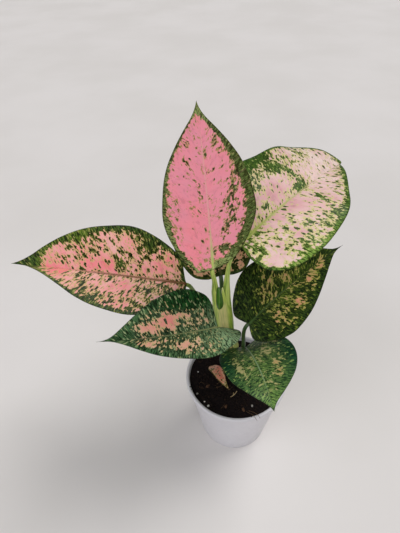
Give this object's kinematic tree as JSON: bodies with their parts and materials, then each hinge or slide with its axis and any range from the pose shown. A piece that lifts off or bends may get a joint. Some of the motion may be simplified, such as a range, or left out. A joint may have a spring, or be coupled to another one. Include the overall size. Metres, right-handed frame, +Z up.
{
  "type": "potted chinese evergreen",
  "caption": "House plant with broad pink and green variegated leaves on sheathed petioles round a short cane, in a round tapered white pot of dark soil.",
  "frame": {"origin": "middle of the pot's underside, on the surface that the pot stands on", "axes": "+Z up, -Y towards the front, where the centre leaf shows its face; +X to the right seen from the front"},
  "size_m": [0.3097, 0.2296, 0.4019],
  "materials": {
    "pot_plastic": "smooth injection-moulded white plastic, soft gloss",
    "potting_mix": "moist peat and bark potting mix, matt and crumbly",
    "cane_skin": "living green stem skin with pale leaf-scar rings",
    "petiole_green": "smooth waxy light green petiole with paler sheath edges",
    "spear_green": "smooth waxy dark green rolled leaf",
    "leaf_hot_pink": "waxy living leaf, hot pink with a green margin and green flecks",
    "leaf_pale_pink": "waxy living leaf, pale pink mottled with bright green",
    "leaf_speckled_pink": "waxy living leaf, pink finely speckled with dark green",
    "leaf_dark_green": "waxy living leaf, dark green with sparse salmon flecks",
    "leaf_mid_green": "waxy living leaf, green with cream and salmon flecks",
    "leaf_salmon": "young basal leaf, salmon red with darker spots",
    "perlite": "porous white expanded mineral grain",
    "bark": "weathered pine bark chip",
    "twig_wood": "dry pale twig"
  },
  "bodies": {
    "root": {"pot": "pot_plastic", "soil": "potting_mix", "cane": "cane_skin", "spear": "spear_green", "centre_leaf_petiole": "petiole_green", "centre_leaf_blade": "leaf_hot_pink", "upper_right_leaf_petiole": "petiole_green", "upper_right_leaf_blade": "leaf_pale_pink", "left_leaf_petiole": "petiole_green", "left_leaf_blade": "leaf_speckled_pink", "lower_left_leaf_petiole": "petiole_green", "lower_left_leaf_blade": "leaf_mid_green", "right_leaf_petiole": "petiole_green", "right_leaf_blade": "leaf_dark_green", "lower_right_leaf_petiole": "petiole_green", "lower_right_leaf_blade": "leaf_mid_green", "back_leaf_petiole": "petiole_green", "back_leaf_blade": "leaf_dark_green", "basal_leaf_petiole": "petiole_green", "basal_leaf_blade": "leaf_salmon", "perlite_1": "perlite", "perlite_2": "perlite", "perlite_3": "perlite", "perlite_4": "perlite", "perlite_5": "perlite", "perlite_6": "perlite", "perlite_7": "perlite", "perlite_8": "perlite", "bark_chip_1": "bark", "bark_chip_2": "bark", "bark_chip_3": "bark", "bark_chip_4": "bark", "bark_chip_5": "bark", "bark_chip_6": "bark", "twig": "twig_wood"}
  },
  "joints": []
}
